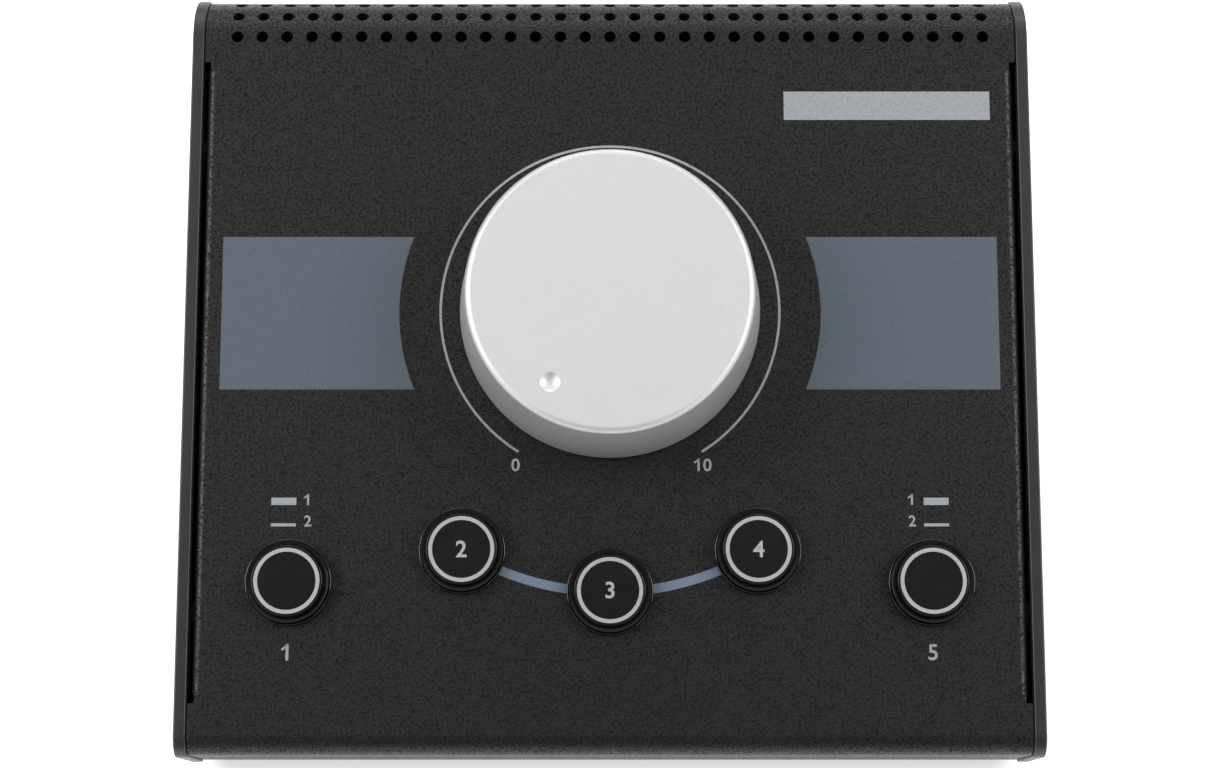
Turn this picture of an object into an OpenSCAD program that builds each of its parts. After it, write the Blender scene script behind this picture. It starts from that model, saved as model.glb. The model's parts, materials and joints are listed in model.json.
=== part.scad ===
// Desktop studio monitor controller: a folded sheet-metal wedge between two thick side cheeks,
// with a large volume knob, five push buttons and a recessed socket panel at the back.
// Millimetres. +X is right, +Y is to the back, +Z is up; the feet stand on z = 0.

/* [Enclosure] */
// Width over both side cheeks
body_w = 140; // [134:1:160]
// Thickness of each side cheek
cheek_t = 2; // [1.5:0.1:2.5]
// How far the cheeks stand out past the cover's outline
cheek_proud = 0.4; // [0.1:0.05:0.6]
// Thickness of the folded sheet metal
sheet_t = 1.2; // [1:0.1:1.3]
// Slope of the control panel, in degrees
panel_tilt = 15; // [12:1:18]
// From the knob's centre down the panel to the front face
panel_front = 72.5; // [70:0.5:80]
// From the knob's centre up the panel to the rear bend
panel_rear = 46.2; // [44:0.2:50]
// Height of the front face, square to the panel
front_depth = 20.2; // [19:0.2:26]
// Outer radius of the bend over the front face
front_bend_r = 3.2; // [2:0.1:4]
// Outer radius of the bend over the back
rear_bend_r = 9; // [8:0.5:12]
// Length of the short lip below the rear bend
rear_lip = 4.3; // [2:0.1:5]
// Height of the upturned sides of the base pan
base_flange_h = 10; // [8:0.5:11]

/* [Cover edges] */
// Width of the gap between a cheek and the cover's folded side
slot_w = 0.6; // [0.4:0.1:1]
// Front end of the gap, down the panel from the knob's centre
slot_front = 64.35; // [62:0.05:66]
// Rear end of the gap, up the panel from the knob's centre
slot_rear = 42.5; // [40:0.1:43.5]
// Side of the small square relief notch at each end of a gap
relief = 1.2; // [0.8:0.1:1.5]
// Outer radius of the folded side's bend
side_bend_r = 1.45; // [1.4:0.05:2]
// Depth of the folded side below the panel's face
side_flange_d = 9; // [8:0.5:10]

/* [Vents] */
// Radius of a vent hole
vent_r = 1; // [0.6:0.1:1.3]
// Plain cover left beside the first and last hole of a row
vent_side = 5.2; // [4:0.05:12]
// Rows of holes round the rear bend
vent_rows = 3; // [1:1:3]
// Spacing of the holes along a row and of the rows round the bend
vent_pitch = 4.17; // [3.4:0.01:4.2]
// Turn from the panel's normal to the first row, in degrees
vent_first = 5; // [0:0.5:10]

/* [Volume knob] */
// Radius of the knob at its foot
knob_r = 24.7; // [23.5:0.1:26]
// Radius of the knob's top face
knob_top_r = 23.1; // [22:0.1:23.4]
// Height of the knob's top face above the panel
knob_top = 16.5; // [15.5:0.1:19]
// Gap below the knob's foot
knob_gap = 0.7; // [0.4:0.1:1]
// Side wall of the turned aluminium shell
knob_wall = 1.5; // [1:0.1:2]
// Thickness of the shell's top
knob_roof = 2; // [1.8:0.1:2.4]
// Bevel round the top face
knob_bevel = 0.7; // [0.2:0.05:1]
// Radius of the pointer dimple
dimple_r = 1.6; // [1:0.1:2]
// Depth of the pointer dimple
dimple_d = 0.5; // [0.3:0.1:0.8]
// Distance of the dimple from the knob's axis
dimple_at = 17.8; // [14:0.1:19]
// Angle between straight down and the dimple at the lowest setting
knob_rest = 33.5; // [25:0.5:40]
// Radius of the plastic hub
hub_r = 6.5; // [5.5:0.1:8]
// Thickness of the hub's disc under the shell's top
hub_disc_t = 2; // [1.5:0.1:2.5]

/* [Volume control] */
// Radius of the control's shaft
shaft_r = 3; // [2.8:0.1:3.1]
// Depth of the flat on the shaft
shaft_flat = 1.2; // [0.8:0.1:1.5]
// Radius of the threaded bushing
bushing_r = 4.5; // [4.2:0.1:4.8]
// Height of the bushing above the panel
bushing_h = 4.2; // [4:0.1:4.4]
// Nut thickness
pot_nut_t = 2.2; // [1.8:0.1:2.4]
// Nut width across its flats
pot_nut_af = 12; // [11:0.5:13]
// Washer thickness
pot_washer_t = 0.6; // [0.4:0.1:0.8]
// Width of the square housing
pot_w = 24.6; // [23:0.2:26]
// Gap between the housing and the control board, where its terminals show
pot_leg = 1.4; // [1:0.1:2]
// Wall of the housing
pot_wall = 1.2; // [1:0.1:1.5]

/* [Buttons] */
// Distance of the outer buttons from the case's sides
outer_button_in = 18; // [16:0.5:20]
// Distance of the outer buttons down the panel
outer_button_v = 45; // [43:0.5:48]
// Radius of the curve that the three middle buttons sit on
link_r = 46.5; // [45:0.5:49]
// Angle of the left and right middle buttons from straight down
link_angle = 31; // [27:0.5:34]
// Radius of a button cap
cap_r = 5.75; // [5.2:0.05:5.9]
// Height of a cap's face above the panel
cap_top = 3; // [2.6:0.1:4]
// Wall of a cap
cap_wall = 1; // [0.8:0.1:1.2]
// Travel of a button
travel = 2.5; // [2:0.1:2.8]
// Gap round a cap inside its bezel
cap_gap = 0.25; // [0.2:0.01:0.3]
// Outer radius of a bezel
bezel_r = 7.1; // [6.9:0.05:7.4]
// Height of a bezel above the panel
bezel_h = 0.9; // [0.6:0.1:1.2]
// Wall of the bezel's sleeve
bezel_wall = 0.5; // [0.4:0.05:0.6]

/* [Switches] */
// Width of a switch housing
switch_w = 8.6; // [8.4:0.1:9.2]
// Height of a switch housing
switch_h = 8; // [7.8:0.1:8.2]
// Wall of a switch housing
switch_wall = 0.8; // [0.6:0.1:0.9]
// Width of the square plunger
plunger_w = 3; // [2.6:0.1:3.2]
// Width of the plunger's stop plate
stop_w = 6; // [5.6:0.1:6.2]
// Outer radius of the return spring
spring_r = 2.7; // [2.6:0.05:2.9]

/* [Boards] */
// Thickness of a circuit board
board_t = 1.6; // [1.2:0.1:1.6]
// Depth of the control board's top face below the panel's face
board_depth = 15; // [14.6:0.1:15.4]
// Gap between a board's side edge and the cheek
board_side_gap = 8; // [7:0.5:9]
// Front edge of the control board, down the panel
board_front = 60; // [58:0.5:62]
// Rear edge of the control board, up the panel
board_rear = 14; // [13:0.5:14.5]
// Distance of the standoffs from the board's edges
standoff_in = 4; // [3.5:0.1:5]
// Radius of a standoff
standoff_r = 2.6; // [2.4:0.1:3]

/* [Sockets] */
// Radius of a 6.35 mm socket's bore
socket_bore_r = 3.25; // [3.2:0.01:3.3]
// Radius of a socket's threaded bushing
socket_bush_r = 4.6; // [4.4:0.1:4.8]
// Width of a socket body
socket_w = 16; // [14:0.5:17]
// Height of a socket body
socket_h = 15; // [13:0.5:15.5]
// Depth of a socket body behind the rear panel
socket_d = 28; // [26:0.5:28.5]
// End wall of a socket's bore
socket_end = 1.4; // [1:0.1:2]
// Distance of the outer socket columns from the cheeks
socket_side = 17; // [16.5:0.5:19]
// Distance between two neighbouring socket columns
socket_pitch = 25.5; // [24.5:0.5:26.5]
// Height of the lower sockets above the base's underside
socket_low = 11; // [10.5:0.1:11.2]
// Height of the upper sockets above the lower ones
socket_rise = 17.5; // [16.5:0.1:17.8]
// Radius of the 3.5 mm socket's bore
mini_bore_r = 1.8; // [1.76:0.01:1.85]
// Radius of the 3.5 mm socket's bushing
mini_bush_r = 3; // [2.8:0.1:3.2]
// Width and height of the 3.5 mm socket's body
mini_w = 11; // [10:0.5:12]
// Depth of the 3.5 mm socket's body
mini_d = 15; // [14:0.5:16]
// Depth of the rear panel inside the cover's back edge
recess = 3.8; // [3.6:0.1:4.4]

/* [Feet and screws] */
// Height of a rubber foot
foot_h = 3.5; // [3.2:0.1:5]
// Radius of a rubber foot
foot_r = 6; // [5:0.5:7]
// Distance of the feet from the case's sides
foot_side = 15; // [12:1:18]
// Distance of the feet from the front and back
foot_end = 18.4; // [16:0.4:22]
// Radius of every screw's shank
screw_r = 1.5; // [1.3:0.1:1.6]
// Radius of every screw's head
head_r = 2.75; // [2.5:0.05:2.9]
// Height of a pan head
pan_h = 1.5; // [1.2:0.1:1.7]
// Distance of the lower cheek screws from the front and back
cheek_screw_end = 22.4; // [20:0.4:26]
// Distance of the front upper cheek screw down the panel
cheek_screw_front = 50; // [45:1:54]
// Distance of the rear upper cheek screw up the panel
cheek_screw_rear = 28; // [20:1:34]
// Length of a cheek screw beyond the folded side that it holds
cheek_screw_past = 2.6; // [1:0.1:4]

/* [Hidden] */
$fn = 64;

// Clearances
seam = 0.1;          // between the cover's edge and a cheek
slip = 0.05;         // round a screw, a bushing or a shaft
stop_gap = 0.3;      // between the plunger's stop plate and the switch roof
past = 1;            // how far a cutter runs past the face that it cuts

// The knob's centre on the panel's face. The outline is centred on y = 0.
tilt_c = cos(panel_tilt);
tilt_s = sin(panel_tilt);
base_z = foot_h;
rear_reach = panel_rear * tilt_c + rear_bend_r * tilt_s + rear_bend_r;
front_reach = (panel_front - front_bend_r) * tilt_c - front_bend_r * tilt_s + front_bend_r;
panel_y = (front_reach - rear_reach) / 2;
panel_z = base_z + front_depth * tilt_c + panel_front * tilt_s;
rear_y = panel_y + rear_reach;
foot_x = body_w / 2 - foot_side;
foot_y = rear_y - foot_end;

// A point of the side view, from its place along the panel and above its face
function side_point(v, n) = [panel_y + v * tilt_c - n * tilt_s, panel_z + v * tilt_s + n * tilt_c];
// Depth below the panel's face where a line square to the panel meets a height
function depth_at(v, z) = (z - panel_z - v * tilt_s) / tilt_c;

front_centre = side_point(front_bend_r - panel_front, -front_bend_r);
rear_centre = side_point(panel_rear, -rear_bend_r);

cheek_in = body_w / 2 - cheek_t;
cover_half = cheek_in - seam;
vent_count = floor(2 * (cover_half - vent_side) / vent_pitch) + 1;
flange_out = cheek_in - slot_w;
flange_in = flange_out - sheet_t;
bend_in = flange_out - side_bend_r;
lip_z = rear_centre[1] - rear_lip;

// Button places on the panel, from left to right
outer_button_x = body_w / 2 - outer_button_in;
link_x = link_r * sin(link_angle);
link_v = link_r * cos(link_angle);
buttons = [
    [-outer_button_x, -outer_button_v],
    [-link_x, -link_v],
    [0, -link_r],
    [link_x, -link_v],
    [outer_button_x, -outer_button_v]
];
bezel_bore_r = cap_r + cap_gap;
sleeve_r = bezel_bore_r + bezel_wall;
bezel_hole_r = sleeve_r + slip;
bezel_lip = 0.3;     // how far the sleeve's snap lip reaches out below the sheet
bezel_lip_h = 0.8;

// Heights inside a switch, from the panel's face
switch_top = switch_h - board_depth;
roof_under = switch_top - switch_wall;
stop_top = roof_under - stop_gap;
stop_t = 1;
stem_tail = 0.8;     // stem below the stop plate
switch_floor = switch_wall - board_depth;
skirt_bottom = switch_top + travel + 0.6;
cap_roof = 1.2;
boss_r = 2.9;
boss_bottom = skirt_bottom + 0.4;
plunger_grip = 2.6;  // how far the plunger reaches into the cap's boss
plunger_top = boss_bottom + plunger_grip;
spring_wall = 0.4;

// Heights of the volume control, from the panel's face
pot_top = -sheet_t;
pot_h = board_depth - sheet_t - pot_leg;
pot_under = pot_top - pot_h;
bushing_root = 1.8;  // bushing let into the housing's top
track_r = 10.4;
track_t = 1;
wiper_r = 9;
wiper_t = 1;
cavity_r = 11;
shaft_top = knob_top - knob_roof - 1.4;
hub_bottom = bushing_h + 0.7;
rim_in = 1.6;        // width of the hub's outer ring
rim_gap = 0.3;       // between the hub's ring and the shell
rim_h = 6;

// Rear panel, sockets and boards
board_half_w = cheek_in - board_side_gap;
socket_out_x = cheek_in - socket_side;
socket_in_x = socket_out_x - socket_pitch;
rear_face = rear_y - recess;
rear_back = rear_face - sheet_t;
rear_top = lip_z + 1.8;
rear_flange = 10;
socket_mouth = rear_y - 0.5;
socket_back = rear_back - socket_d;
jack_board_y = socket_back - board_t;
mini_mouth = rear_face + 2.4;
mini_back = rear_back - mini_d;
mini_z = base_z + socket_low + socket_rise / 2;
terminal_step = 5;
sockets = [
    [-socket_out_x, socket_low], [-socket_in_x, socket_low],
    [socket_in_x, socket_low], [socket_out_x, socket_low],
    [-socket_out_x, socket_low + socket_rise], [-socket_in_x, socket_low + socket_rise],
    [socket_in_x, socket_low + socket_rise], [socket_out_x, socket_low + socket_rise]
];
socket_hole_r = socket_bush_r + 0.15;
mini_hole_r = mini_bush_r + 0.15;
socket_washer_t = 0.6;
socket_washer_r = 7;
socket_nut_t = 1.9;
socket_nut_af = 12;
mini_nut_r = 4.2;
mini_nut_t = 1.6;
pin_w = 1;
pin_out = 1.6;
pin_step = 3;

// Ribbon cable between the two boards
ribbon_w = 16;
ribbon_t = 0.9;
ribbon_x = -(socket_in_x + socket_out_x) / 2;
ribbon_bend = 3;
header_d = 6;
header_h = 6.5;
header_top = side_point(0, header_h - board_depth);
jack_header_z = header_top[1] + ribbon_bend + 0.4;

// Board and case screws
standoffs = [
    for (x = [-1, 1], v = [standoff_in - board_front, board_rear - standoff_in])
        [x * (board_half_w - standoff_in), v]
];
board_screw_l = 6;
case_screw_x = (socket_in_x + socket_out_x) / 2;
case_screw_y = rear_back - rear_flange / 2;
case_screw_l = 4;
feet = [for (x = [-foot_x, foot_x], y = [-foot_y, foot_y]) [x, y]];
foot_recess_r = head_r + 0.5;
foot_recess_h = 2;
foot_draft = 0.4;    // how much narrower a foot is where it stands
csk_d = head_r - screw_r;
cheek_screw_tip = flange_in - cheek_screw_past;
cheek_screw_y = rear_y - cheek_screw_end;
cheek_screws_low = [for (y = [-cheek_screw_y, cheek_screw_y]) [y, base_z + 0.6 * base_flange_h]];
cheek_screws_high = [
    for (v = [-cheek_screw_front, cheek_screw_rear])
        side_point(v, -0.6 * side_flange_d)
];
spacer_r = 3;

// Colours
black_coat = [0.14, 0.14, 0.14];
cheek_coat = [0.2, 0.2, 0.2];
gloss_black = [0.06, 0.06, 0.06];
board_green = [0.1, 0.3, 0.18];
rubber_black = [0.08, 0.08, 0.08];
zinc = [0.72, 0.73, 0.75];

// Places its children on the panel, u to the right, v up the slope and n out of its face
module on_panel(u = 0, v = 0, n = 0) {
    translate([0, panel_y, panel_z])
        rotate([panel_tilt, 0, 0])
            translate([u, v, n])
                children();
}

// Extrudes a side view across the width
module across(width, middle = 0) {
    translate([middle, 0, 0])
        rotate([90, 0, 90])
            linear_extrude(height = width, center = true)
                children();
}

// A cylinder along +X, from x0 to x1, at a point of the side view
module bar_x(point, r, x0, x1) {
    translate([x0, point[0], point[1]])
        rotate([0, 90, 0])
            cylinder(h = x1 - x0, r = r);
}

// A cylinder along +Y, from y0 to y1
module bar_y(x, z, r, y0, y1) {
    translate([x, y0, z])
        rotate([-90, 0, 0])
            cylinder(h = y1 - y0, r = r);
}

// A hexagon along +Y, from y0 to y1
module hex_y(x, z, flats, y0, y1) {
    translate([x, y0, z])
        rotate([-90, 0, 0])
            cylinder(h = y1 - y0, r = flats / 2 / cos(30), $fn = 6);
}

// A flat ring standing on z = 0
module ring(outer, inner, h) {
    difference() {
        cylinder(h = h, r = outer);
        translate([0, 0, -past])
            cylinder(h = h + 2 * past, r = inner);
    }
}

// A square block standing on z = 0
module block(w, h) {
    translate([-w / 2, -w / 2, 0])
        cube([w, w, h]);
}

// Side view of the wedge without its two bends, drawn in from the outer faces
module wedge_chords(inset, floor_z) {
    front_r = front_bend_r - inset;
    rear_r = rear_bend_r - inset;
    polygon([
        side_point(inset - panel_front, depth_at(inset - panel_front, floor_z)),
        front_centre + front_r * [-tilt_c, -tilt_s],
        front_centre + front_r * [-tilt_s, tilt_c],
        rear_centre + rear_r * [-tilt_s, tilt_c],
        rear_centre + rear_r * [1, 0],
        [rear_y - inset, floor_z]
    ]);
}

// Side view of the whole wedge
module wedge_profile(inset, floor_z) {
    wedge_chords(inset, floor_z);
    translate(front_centre)
        circle(r = front_bend_r - inset);
    translate(rear_centre)
        circle(r = rear_bend_r - inset);
}

// ---- Sheet-metal case ----

// Side view of the cover: front face, panel, rear bend and a short lip
module cover_section() {
    difference() {
        wedge_profile(0, base_z);
        wedge_profile(sheet_t, base_z - past);
        translate([rear_centre[0], base_z - past])
            square([rear_bend_r + past, lip_z - base_z + past]);
    }
}

// One face of a folded side: from a strip of panel round the bend and down the flange
module side_fold_face(inset, strip) {
    translate([bend_in - strip, -side_flange_d - inset])
        square([strip, side_flange_d]);
    translate([bend_in - strip, -side_flange_d - inset])
        square([strip + side_bend_r - inset, side_flange_d - side_bend_r + inset]);
    translate([bend_in, -side_bend_r])
        circle(r = side_bend_r - inset);
}

// Section of a folded side, the space between its outer and inner faces
module side_fold_section() {
    strip = 2;
    difference() {
        side_fold_face(0, strip);
        side_fold_face(sheet_t, strip + past);
    }
}

module side_fold() {
    fold_l = slot_front + slot_rear - 2 * relief;
    on_panel(0, slot_rear - relief, 0)
        rotate([90, 0, 0])
            linear_extrude(height = fold_l)
                side_fold_section();
}

// Clears the panel's edge for a folded side, with a relief notch at each end
module side_slot_cut() {
    fold_l = slot_front + slot_rear - 2 * relief;
    on_panel(bend_in, relief - slot_front, -sheet_t - past)
        cube([cheek_in - bend_in, fold_l, sheet_t + 2 * past]);
    on_panel(flange_out - relief / 2, -slot_front, -sheet_t - past)
        cube([cheek_in - flange_out + relief, slot_front + slot_rear, sheet_t + 2 * past]);
}

module vent_holes() {
    row_turn = vent_pitch / rear_bend_r * 180 / PI;
    for (row = [0 : vent_rows - 1])
        for (i = [0 : vent_count - 1])
            on_panel((i - (vent_count - 1) / 2) * vent_pitch, panel_rear, -rear_bend_r)
                rotate([-vent_first - row * row_turn, 0, 0])
                    translate([0, 0, rear_bend_r - sheet_t - past])
                        cylinder(h = sheet_t + 2 * past, r = vent_r, $fn = 24);
}

module top_cover() {
    color(black_coat)
        difference() {
            union() {
                difference() {
                    across(2 * cover_half)
                        cover_section();
                    side_slot_cut();
                    mirror([1, 0, 0])
                        side_slot_cut();
                }
                side_fold();
                mirror([1, 0, 0])
                    side_fold();
            }
            on_panel(0, 0, -sheet_t - past)
                cylinder(h = sheet_t + 2 * past, r = bushing_r + 2 * slip);
            for (b = buttons)
                on_panel(b[0], b[1], -sheet_t - past)
                    cylinder(h = sheet_t + 2 * past, r = bezel_hole_r);
            for (p = cheek_screws_high)
                bar_x(p, screw_r + slip, -cheek_in, cheek_in);
            vent_holes();
        }
}

module cheek() {
    difference() {
        union() {
            across(cheek_t, body_w / 2 - cheek_t / 2)
                wedge_chords(-cheek_proud, base_z);
            bar_x(front_centre, front_bend_r + cheek_proud, cheek_in, body_w / 2);
            bar_x(rear_centre, rear_bend_r + cheek_proud, cheek_in, body_w / 2);
        }
        for (p = concat(cheek_screws_low, cheek_screws_high)) {
            bar_x(p, screw_r + slip, cheek_in - past, body_w / 2);
            translate([body_w / 2 - csk_d, p[0], p[1]])
                rotate([0, 90, 0])
                    cylinder(h = csk_d, r1 = screw_r + slip, r2 = head_r + slip);
        }
    }
}

module left_cheek() {
    color(cheek_coat)
        mirror([1, 0, 0])
            cheek();
}

module right_cheek() {
    color(cheek_coat)
        cheek();
}

// Side view of the base pan: floor and an upturned front edge behind the cover's
module base_section() {
    outer = sheet_t + seam;
    difference() {
        intersection() {
            wedge_profile(outer, base_z);
            translate([-rear_y, base_z])
                square([2 * rear_y, base_flange_h]);
        }
        wedge_profile(outer + sheet_t, base_z + sheet_t);
        translate([rear_y - outer - sheet_t - past, base_z + sheet_t])
            square([sheet_t + 2 * past, base_flange_h]);
    }
    translate([0, base_z])
        square([rear_y, sheet_t]);
}

// Side view of one upturned side of the base pan
module base_side_section() {
    intersection() {
        wedge_profile(2 * sheet_t + 2 * seam, base_z);
        translate([-rear_y, base_z])
            square([rear_y + rear_back - 3 * seam, base_flange_h]);
    }
}

module base_pan() {
    color(black_coat)
        difference() {
            union() {
                across(2 * cheek_in)
                    base_section();
                for (side = [-1, 1])
                    across(sheet_t, side * (cheek_in - sheet_t / 2))
                        base_side_section();
            }
            for (f = feet)
                translate([f[0], f[1], base_z - past])
                    cylinder(h = sheet_t + 2 * past, r = screw_r + slip);
            for (x = [-case_screw_x, 0, case_screw_x])
                translate([x, case_screw_y, base_z - past])
                    cylinder(h = sheet_t + 2 * past, r = screw_r + slip);
            for (p = cheek_screws_low)
                bar_x(p, screw_r + slip, -cheek_in - past, cheek_in + past);
        }
}

module rear_panel() {
    flange_half = cheek_in - sheet_t - seam;
    color(black_coat)
        difference() {
            union() {
                translate([-cover_half, rear_back, base_z + sheet_t])
                    cube([2 * cover_half, sheet_t, rear_top - base_z - sheet_t]);
                translate([-cover_half, rear_back, rear_top - sheet_t])
                    cube([2 * cover_half, rear_y - sheet_t - seam - rear_back, sheet_t]);
                translate([-flange_half, rear_back - rear_flange, base_z + sheet_t])
                    cube([2 * flange_half, rear_flange + sheet_t / 2, sheet_t]);
            }
            for (s = sockets)
                bar_y(s[0], base_z + s[1], socket_hole_r, rear_back - past, rear_face + past);
            bar_y(0, mini_z, mini_hole_r, rear_back - past, rear_face + past);
            for (x = [-case_screw_x, 0, case_screw_x])
                translate([x, case_screw_y, base_z])
                    cylinder(h = 2 * sheet_t + past, r = screw_r + slip);
        }
}

// ---- Feet and screws ----

module rubber_feet() {
    color(rubber_black)
        for (f = feet)
            translate([f[0], f[1], 0])
                difference() {
                    cylinder(h = foot_h, r1 = foot_r - foot_draft, r2 = foot_r);
                    translate([0, 0, -past])
                        cylinder(h = foot_recess_h + past, r = foot_recess_r);
                    cylinder(h = foot_h + past, r = screw_r + slip);
                }
}

// A pan-head screw: its head stands below z = 0 and its shank above
module pan_screw(l) {
    difference() {
        union() {
            translate([0, 0, -pan_h])
                cylinder(h = pan_h, r1 = head_r - 0.4, r2 = head_r);
            cylinder(h = l, r = screw_r);
        }
        translate([0, 0, -pan_h - past])
            cylinder(h = past + pan_h / 2, r = screw_r * 0.8, $fn = 6);
    }
}

module foot_screws() {
    color(zinc)
        for (f = feet)
            translate([f[0], f[1], foot_recess_h])
                pan_screw(foot_h - foot_recess_h + sheet_t + 2);
}

module cheek_screw(p) {
    translate([cheek_screw_tip, p[0], p[1]])
        rotate([0, 90, 0])
            difference() {
                union() {
                    cylinder(h = body_w / 2 - csk_d - cheek_screw_tip, r = screw_r);
                    translate([0, 0, body_w / 2 - csk_d - cheek_screw_tip])
                        cylinder(h = csk_d - slip, r1 = screw_r, r2 = head_r - slip);
                }
                translate([0, 0, body_w / 2 - cheek_screw_tip - csk_d])
                    cylinder(h = csk_d + past, r = screw_r * 0.7, $fn = 6);
            }
}

module cheek_screws() {
    color(zinc)
        for (p = concat(cheek_screws_low, cheek_screws_high)) {
            cheek_screw(p);
            mirror([1, 0, 0])
                cheek_screw(p);
        }
}

module cheek_spacers() {
    color(zinc)
        for (p = cheek_screws_high)
            for (x = [flange_out, -cheek_in])
                translate([x, p[0], p[1]])
                    rotate([0, 90, 0])
                        ring(spacer_r, screw_r + slip, slot_w);
}

module pan_screws() {
    color(zinc) {
        for (x = [-case_screw_x, 0, case_screw_x])
            translate([x, case_screw_y, base_z])
                pan_screw(case_screw_l);
        for (s = standoffs)
            on_panel(s[0], s[1], -board_depth - board_t)
                pan_screw(board_screw_l);
    }
}

// ---- Boards and wiring ----

module control_board() {
    color(board_green)
        on_panel(0, 0, -board_depth - board_t)
            difference() {
                translate([-board_half_w, -board_front, 0])
                    cube([2 * board_half_w, board_front + board_rear, board_t]);
                for (s = standoffs)
                    translate([s[0], s[1], -past])
                        cylinder(h = board_t + 2 * past, r = screw_r + slip);
            }
}

module board_standoffs() {
    color(zinc)
        for (s = standoffs)
            on_panel(s[0], s[1], -board_depth)
                difference() {
                    cylinder(h = board_depth - sheet_t, r = standoff_r);
                    translate([0, 0, -past])
                        cylinder(h = board_screw_l + past, r = screw_r + slip);
                }
}

module jack_board() {
    low = base_z + socket_low - socket_h / 2;
    high = base_z + socket_low + socket_rise + socket_h / 2;
    color(board_green)
        translate([-board_half_w, jack_board_y, low])
            cube([2 * board_half_w, board_t, high - low]);
}

module ribbon_headers() {
    color(gloss_black) {
        on_panel(ribbon_x - ribbon_w / 2, -header_d / 2, -board_depth)
            cube([ribbon_w, header_d, header_h]);
        translate([ribbon_x - ribbon_w / 2, jack_board_y - header_h, jack_header_z - header_d / 2])
            cube([ribbon_w, header_h, header_d]);
    }
}

// Leaves the control board's header upwards, turns and enters the jack board's header
module ribbon_section() {
    half = ribbon_t / 2;
    gap = 0.2;
    turn = [header_top[0] + ribbon_bend, jack_header_z - ribbon_bend];
    translate([header_top[0] - half, header_top[1] + gap])
        square([ribbon_t, turn[1] - header_top[1] - gap]);
    intersection() {
        translate(turn)
            difference() {
                circle(r = ribbon_bend + half);
                circle(r = ribbon_bend - half);
            }
        translate([turn[0] - 2 * ribbon_bend, turn[1]])
            square([2 * ribbon_bend, 2 * ribbon_bend]);
    }
    translate([turn[0], jack_header_z - half])
        square([jack_board_y - header_h - turn[0], ribbon_t]);
}

module ribbon_cable() {
    color("gray")
        across(ribbon_w - 2, ribbon_x)
            ribbon_section();
}

// ---- Volume control ----

module pot_housing() {
    color([0.2, 0.22, 0.25])
        on_panel(0, 0, pot_under)
            difference() {
                block(pot_w, pot_h);
                translate([0, 0, pot_wall])
                    cylinder(h = pot_h - pot_wall - bushing_root, r = cavity_r);
                translate([0, 0, pot_h - bushing_root - past])
                    cylinder(h = bushing_root + 2 * past, r = bushing_r + slip);
            }
}

module pot_bushing() {
    color(zinc)
        on_panel(0, 0, pot_top - bushing_root)
            ring(bushing_r, shaft_r + slip, bushing_root + sheet_t + bushing_h);
}

module pot_washer() {
    color(zinc)
        on_panel()
            ring(pot_nut_af / 2 + 0.6, bushing_r + slip, pot_washer_t);
}

module pot_nut() {
    color(zinc)
        on_panel(0, 0, pot_washer_t)
            difference() {
                cylinder(h = pot_nut_t, r = pot_nut_af / 2 / cos(30), $fn = 6);
                translate([0, 0, -past])
                    cylinder(h = pot_nut_t + 2 * past, r = bushing_r + slip);
            }
}

module pot_terminals() {
    color(zinc)
        for (i = [-1 : 1], v = [-0.4 * pot_w, 0.4 * pot_w])
            on_panel(i * terminal_step, v, -board_depth)
                block(pin_w, board_depth + pot_under);
}

module pot_track() {
    color([0.35, 0.24, 0.14])
        on_panel(0, 0, pot_under + pot_wall)
            cylinder(h = track_t, r = track_r);
}

module pot_shaft() {
    shaft_bottom = pot_under + pot_wall + track_t + 0.5;
    flat_bottom = hub_bottom;
    color(zinc)
        on_panel()
            difference() {
                translate([0, 0, shaft_bottom])
                    cylinder(h = shaft_top - shaft_bottom, r = shaft_r);
                rotate([0, 0, -knob_rest])
                    translate([-shaft_r, -shaft_r - past, flat_bottom])
                        cube([2 * shaft_r, shaft_flat + past, shaft_top]);
            }
}

module pot_wiper() {
    color("goldenrod")
        on_panel(0, 0, pot_under + pot_wall + track_t + 1)
            ring(wiper_r, shaft_r + 0.02, wiper_t);
}

// ---- Knob ----

// Half section of the turned shell
module shell_section() {
    foot = knob_gap;
    inner_top = knob_top - knob_roof;
    polygon([
        [knob_r - knob_wall, foot],
        [knob_r, foot],
        [knob_top_r + knob_bevel / 2, knob_top - knob_bevel],
        [knob_top_r - knob_bevel / 2, knob_top],
        [0, knob_top],
        [0, inner_top],
        [knob_top_r - knob_wall, inner_top]
    ]);
}

// A shallow ball-shaped dimple
module dimple_cut() {
    ball_r = (dimple_r * dimple_r + dimple_d * dimple_d) / (2 * dimple_d);
    rotate([0, 0, -knob_rest])
        translate([0, -dimple_at, knob_top + ball_r - dimple_d])
            sphere(r = ball_r);
}

module knob_shell() {
    color("gainsboro")
        on_panel()
            difference() {
                rotate_extrude($fn = 128)
                    shell_section();
                dimple_cut();
            }
}

module knob_hub() {
    disc_r = knob_top_r - knob_wall - rim_gap;
    inner_top = knob_top - knob_roof;
    color("dimgray")
        on_panel()
            difference() {
                union() {
                    translate([0, 0, hub_bottom])
                        cylinder(h = inner_top - hub_bottom, r = hub_r);
                    translate([0, 0, inner_top - hub_disc_t])
                        cylinder(h = hub_disc_t, r = disc_r);
                    translate([0, 0, inner_top - rim_h])
                        ring(disc_r, disc_r - rim_in, rim_h);
                }
                difference() {
                    translate([0, 0, hub_bottom - past])
                        cylinder(h = shaft_top + slip - hub_bottom + past, r = shaft_r + slip);
                    rotate([0, 0, -knob_rest])
                        translate([-2 * shaft_r, -3 * shaft_r + shaft_flat - slip, hub_bottom - 2 * past])
                            cube([4 * shaft_r, 2 * shaft_r, knob_top]);
                }
            }
}

// ---- Buttons ----

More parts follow.
